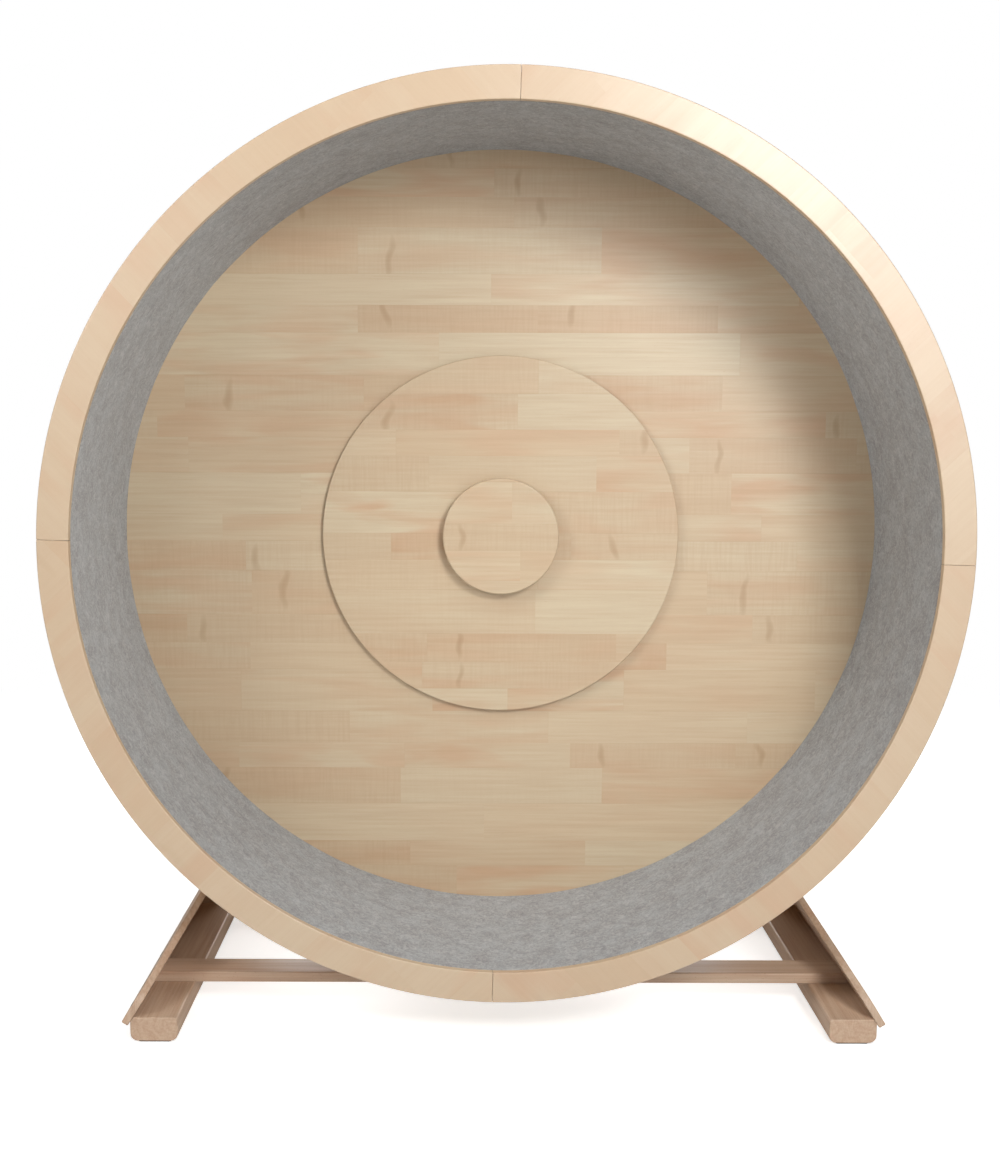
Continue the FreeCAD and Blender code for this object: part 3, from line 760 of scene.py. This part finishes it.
def makeHousing():
    # the cast flange is an octagon with soft edges
    h = housing
    half, short = h["flange"] / 2, h["flange"] / 2 - h["cut"]
    corners = [(-short, -half), (short, -half), (half, -short), (half, short), (short, half), (-short, half),
               (-half, short), (-half, -short)]
    plate = carried("housing_flange", roundedLoop([(*corner, h["corner"]) for corner in corners]),
                    softEnds(h["front"], h["flangeBack"], h["edge"]), alongAxle)
    dress(plate, castAluminium, "cast_aluminium", "wheel", "bearing_housing")

    # the barrel is turned, with a fillet where it meets the flange, and laps a little way into it
    t = np.linspace(0, pi / 2, 6)
    fillet = np.stack([h["outer"] + h["fillet"] * (1 - np.sin(t)),
                       h["flangeBack"] + h["fillet"] * (1 - np.cos(t))], 1)
    lap, rear, seat = h["flangeBack"] - h["lap"], h["back"], h["back"] - h["bearing"]
    profile = [(h["bore"], lap), (h["outer"] + h["fillet"], lap), *fillet, (h["outer"], rear - h["chamfer"]),
               (h["outer"] - h["chamfer"], rear), (h["bore"] + h["boreChamfer"], rear),
               (h["bore"], rear - h["boreChamfer"]), (h["bore"], seat), (h["land"], seat), (h["land"], lap)]
    dress(turnedRound("housing_barrel", profile), castAluminium, "cast_aluminium", "wheel")

    s = seal
    low, high = rear - s["sink"], rear + s["proud"]
    cover = turnedRound("bearing_seal", [(s["inner"], low), (s["outer"], low), (s["outer"], rear),
                                         (s["outer"] - s["bevel"], high), (s["inner"] + s["bevel"], high),
                                         (s["inner"], rear)])
    dress(cover, sealRubber, "pad_rubber", "wheel")


stand = {"seat": (456.0, 26.0), "lean": 31.8, "headTop": 680.3, "footTop": 32.0}
leanSin, leanCos = sin(radians(stand["lean"])), cos(radians(stand["lean"]))
seatX, seatZ = stand["seat"]


def leanX(height, out=0.0):
    # how far out a plane parallel to the side board's inner face stands at a height
    return seatX + (out - (height - seatZ) * leanSin) / leanCos


def onBoard(along, out):
    # x and z of a point along the leaning side board and out from its inner face
    return seatX - along * leanSin + out * leanCos, seatZ + along * leanCos + out * leanSin


def bothSides(name, loop, stations, place, material, slot, node, grain):
    # the right-hand piece and its mirror image; grain is its board directions on the right
    along, across, shift = grain
    for index, (side, sign) in enumerate((("right", 1), ("left", -1))):

        def mirrored(a, b, distance):
            x, depth, z = place(a, b, distance)
            return sign * x, depth, z

        piece = carried(f"{name}_{side}", loop, stations, mirrored)
        grainOn(piece, along, (sign * across[0], *across[1:]), (shift + 1.3 * index, 0.11 * index, 0))
        dress(piece, material, slot, "stand", f"{node}_{side}")


foot = {"inner": 398.0, "outer": 456.0, "low": 2.0, "lowerRound": 9.0, "upperRound": 2.5, "planedRound": 0.6,
        "length": 500.0, "ends": 1.6}
pad = {"inner": 407.0, "outer": 447.0, "length": 60.0, "setback": 3.0, "corner": 3.0, "edge": 0.4}


def makeFeet():
    f = foot
    top = stand["footTop"]
    loop = roundedLoop([(f["inner"], f["low"], f["lowerRound"]), (f["outer"], f["low"], f["lowerRound"]),
                        (f["outer"], seatZ, f["planedRound"]), (leanX(top), top, f["planedRound"]),
                        (f["inner"], top, f["upperRound"])])
    bothSides("foot_beam", loop, softEnds(0, f["length"], f["ends"]), backwards, planedBeech, "stand_beech",
              "foot", (back, right, 0.0))
    for end, start in (("front", pad["setback"]), ("rear", f["length"] - pad["setback"] - pad["length"])):
        loop = boxLoop(pad["inner"], pad["outer"], start, start + pad["length"], pad["corner"])
        bothSides(f"pad_{end}", loop, softEnds(0, f["low"], pad["edge"], 2),
                  lambda x, depth, z: (x, depth, z), padRubber, "pad_rubber", f"foot_pad_{end}",
                  (back, right, 0.0))


sideBoard = {"thickness": 9.0, "drop": 6.5, "toe": 32.0, "brow": 172.35, "browAngle": 31.0,
             "postFront": 366.0, "postBack": 472.0, "heelRise": 330.0, "heel": 70.0, "uncutTop": 800.0,
             "edge": 1.4, "lowRound": 3, "toeRound": 20, "cornerRound": 40, "topRound": 1}


def makeSideBoards():
    # the outline is drawn flat, over its top, and the board is leant and cut level as it is placed
    s = sideBoard
    brow, length, top, drop = s["brow"], foot["length"], s["uncutTop"], s["drop"]
    browDepth = (brow - s["toe"]) / tan(radians(s["browAngle"]))
    low, corner = s["lowRound"], s["cornerRound"]
    loop = roundedLoop([(0, -drop, low), (length, -drop, low), (length, s["heel"], corner),
                        (s["postBack"], s["heelRise"], corner), (s["postBack"], top, s["topRound"]),
                        (s["postFront"], top, s["topRound"]), (s["postFront"], brow, corner),
                        (browDepth, brow, corner), (0, s["toe"], s["toeRound"])], 8)

    def place(depth, along, out):
        x, z = onBoard(np.minimum(along, (stand["headTop"] - seatZ - out * leanSin) / leanCos), out)
        return x, depth, z

    bothSides("side_panel", loop, softEnds(0, s["thickness"], s["edge"]), place, planedBeech, "stand_board",
              "side_board", (up, back, 0.4))


leg = {"thickness": 30.0, "front": 396.0, "back": 454.0, "bevel": 2.5, "innerRound": 0.6, "outerRound": 0.3}


def makeLegs():
    g = leg
    inner, bevel, soft, outer = -g["thickness"], g["bevel"], g["innerRound"], g["outerRound"]
    loop = roundedLoop([(inner, g["front"] + bevel, soft), (inner + bevel, g["front"], soft),
                        (0, g["front"], outer), (0, g["back"], outer), (inner + bevel, g["back"], soft),
                        (inner, g["back"] - bevel, soft)], 3)
    bothSides("leg_bar", loop, [(stand["footTop"], 0), (stand["headTop"], 0)],
              lambda out, depth, z: (leanX(z, out), depth, z), planedBeech, "stand_beech", "leg",
              ((-leanSin, 0, leanCos), back, 0.9))


crossbar = {"width": 45.0, "thickness": 13.5, "edge": 2.0, "lowEdge": 0.8, "front": 107.0, "rear": 454.0}


def makeCrossbars():
    # an outline of depth and height stretched from one side board to the other
    c = crossbar
    low, high = stand["footTop"], stand["footTop"] + c["thickness"]
    rounds = (c["lowEdge"], c["lowEdge"], c["edge"], c["edge"])
    for index, end in enumerate(("front", "rear")):
        loop = boxLoop(c[end], c[end] + c["width"], low, high, rounds, 4)
        bar = carried(f"crossbar_{end}_bar", loop, [(-1, 0), (1, 0)],
                      lambda depth, z, share: (share * leanX(z), depth, z))
        grainOn(bar, right, back, (0.8 + index, 0, 0))
        dress(bar, planedBeech, "stand_beech", "stand", f"crossbar_{end}")


head = {"low": 500.3, "arch": 20.0, "archSteps": 9, "archRound": 0.98, "blockLow": 530.3, "plate": 18.0,
        "front": 378.0, "rear": 454.0, "lowRound": 0.8, "topRound": 1.0, "edge": 1.0, "blockRound": 0.6}


def makeHead():
    h = head
    top, steps = stand["headTop"], h["archSteps"]
    wide, narrow = leanX(h["low"]), leanX(top)
    # the arch is a circle of that half span and rise, given by the corners of the polygon round it
    radius = (wide ** 2 + h["arch"] ** 2) / (2 * h["arch"])
    half = np.arcsin(wide / radius)
    turns = (np.arange(steps) - steps // 2) / steps * 2 * half
    out = radius / cos(half / steps)
    centre = h["low"] + h["arch"] - radius
    arch = [(out * sin(t), centre + out * cos(t), radius * h["archRound"]) for t in turns]
    loop = roundedLoop([(-wide, h["low"], h["lowRound"]), *arch, (wide, h["low"], h["lowRound"]),
                        (narrow, top, h["topRound"]), (-narrow, top, h["topRound"])], 3)
    for end in ("front", "rear"):
        stations = softEnds(h[end], h[end] + h["plate"], h["edge"], 3)
        plate = carried(f"head_board_{end}", loop, stations, backwards)
        grainOn(plate, right, up, (h[end] * 0.01, 0.2, 0))
        dress(plate, planedBeech, "stand_board", "stand", f"head_plate_{end}")
    wide, narrow = leanX(h["blockLow"], -leg["thickness"]), leanX(top, -leg["thickness"])
    corners = ((-wide, h["blockLow"]), (wide, h["blockLow"]), (narrow, top), (-narrow, top))
    loop = roundedLoop([(*corner, h["blockRound"]) for corner in corners], 2)
    block = carried("head_block_solid", loop, [(leg["front"], 0), (leg["back"], 0)], backwards)
    grainOn(block, right, up, (5.1, 0.33, 0))
    dress(block, planedBeech, "stand_beech", "stand", "head_block")


nut = {"flats": 28.0, "height": 10.0, "bore": 10.02, "boreChamfer": 0.8, "chamfer": 0.9, "faceShare": 0.97,
       "cone": 30, "front": 274.0, "rear": 477.0, "steps": 144}
washer = {"size": 60.0, "thickness": 5.0, "corner": 3.0, "edge": 0.7, "front": 373.0, "rear": 472.0}
thread = {"radius": 9.98, "root": 9.1, "pitch": 1.5, "start": 476.6, "end": 489.0, "chamfer": 1.0,
          "core": 0.2, "lap": 0.1, "proud": 0.02, "stepsPerPitch": 6, "crest": 0.8}


def hexagonRadius(radius, turn, depth, start):
    # The smaller of the hexagon, (flats / 2) / cos of the angle from the nearest flat, and a blunt cone at
    # each face. Rows of the bore keep their radius.
    flat = nut["flats"] / 2 / np.cos((turn + pi / 6) % (pi / 3) - pi / 6)
    inward = np.minimum(depth - start, start + nut["height"] - depth)
    cone = nut["flats"] / 2 * nut["faceShare"] + inward / tan(radians(nut["cone"]))
    return np.where(radius > nut["bore"] + 1, np.minimum(flat, cone), radius)


def makeNuts():
    # a closed profile whose outer rows follow the hexagon and the chamfer cones
    bore, chamfer = nut["bore"], nut["boreChamfer"]
    for end, nodes in (("front", []), ("rear", ["axle_nuts"])):
        start = nut[end]
        steps = [start + nut["chamfer"] * share for share in (0, 0.15, 0.3, 0.5, 0.75, 1)]
        steps += [2 * start + nut["height"] - step for step in steps[::-1]]
        profile = [(bore, steps[0] + chamfer), (bore + chamfer, steps[0]),
                   *[(nut["flats"] / 2, step) for step in steps],
                   (bore + chamfer, steps[-1]), (bore, steps[-1] - chamfer)]
        piece = turnedRound(f"axle_nut_{end}", profile, nut["steps"],
                            lambda radius, turn, depth: hexagonRadius(radius, turn, depth, start))
        dress(piece, zincedSteel, "zinc_steel", "stand", *nodes)


def makeWashers():
    # a rounded square, with no bore because the axle fills it
    half = washer["size"] / 2
    loop = boxLoop(-half, half, -half, half, washer["corner"])
    for end, nodes in (("front", []), ("rear", ["head_washers"])):
        stations = softEnds(washer[end], washer[end] + washer["thickness"], washer["edge"])
        piece = carried(f"head_washer_{end}", loop, stations, alongAxle)
        dress(piece, zincedSteel, "zinc_steel", "stand", *nodes)


def makeThread():
    # the radius falls and rises as a rounded saw tooth once in each pitch, |2 share - 1| ^ crest
    h = thread
    depth = np.arange(h["start"], h["end"] - h["chamfer"], h["pitch"] / h["stepsPerPitch"])
    tooth = np.abs((depth - h["start"]) / h["pitch"] % 1 * 2 - 1) ** h["crest"]
    ridge = np.stack([h["root"] + (h["radius"] - h["root"]) * tooth, depth], 1)
    profile = [(h["core"], h["start"] - h["lap"]), *ridge, (h["radius"] - h["chamfer"], h["end"]),
               (h["core"], h["end"] + h["proud"])]
    dress(turnedRound("axle_thread_rear", profile), zincedSteel, "zinc_steel", "stand")


standScrews = {"plateSide": 17.0, "plateHeights": (524.0, 562.0, 642.0), "boardAlong": (130.0, 330.0, 540.0),
               "boardDepths": (411.0, 439.0), "footDepths": (40.0, 200.0, 345.0), "footAlong": 1.5}


def makeStandScrews():
    # through the rear head plate into the legs, and through the side boards into the legs and feet
    c = standScrews
    plateBack = head["rear"] + head["plate"]
    spots = []
    for sign in (-1, 1):
        for z in c["plateHeights"]:
            spots.append((sign * (leanX(z) - c["plateSide"]), plateBack, z, back, (cos(z), 0, sin(z))))
        places = [(depth, along) for along in c["boardAlong"] for depth in c["boardDepths"]]
        places += [(depth, c["footAlong"]) for depth in c["footDepths"]]
        for depth, along in places:
            x, z = onBoard(along, sideBoard["thickness"])
            spots.append((sign * x, depth, z, (sign * leanCos, 0, leanSin), back))
    screwHeads("stand_screws", spots, "stand")


makeRim()
makeTrack()
makeBoards()
makeBattens()
makePanelScrews()
makeHousing()
print("wheel made")
makeFeet()
makeSideBoards()
makeLegs()
makeCrossbars()
makeHead()
makeNuts()
makeWashers()
makeThread()
makeStandScrews()
print("stand made")

# CAD nodes whose shape is right keep it and get their material
for node, material in (("bearing_outer_rings", groundSteel), ("bearing_sleeve", groundSteel),
                       ("housing_bolts", zincedSteel), ("axle", zincedSteel), ("rim_splines", bentBirch)):
    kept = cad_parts[node]
    kept.data.materials.clear()
    kept.data.materials.append(material)
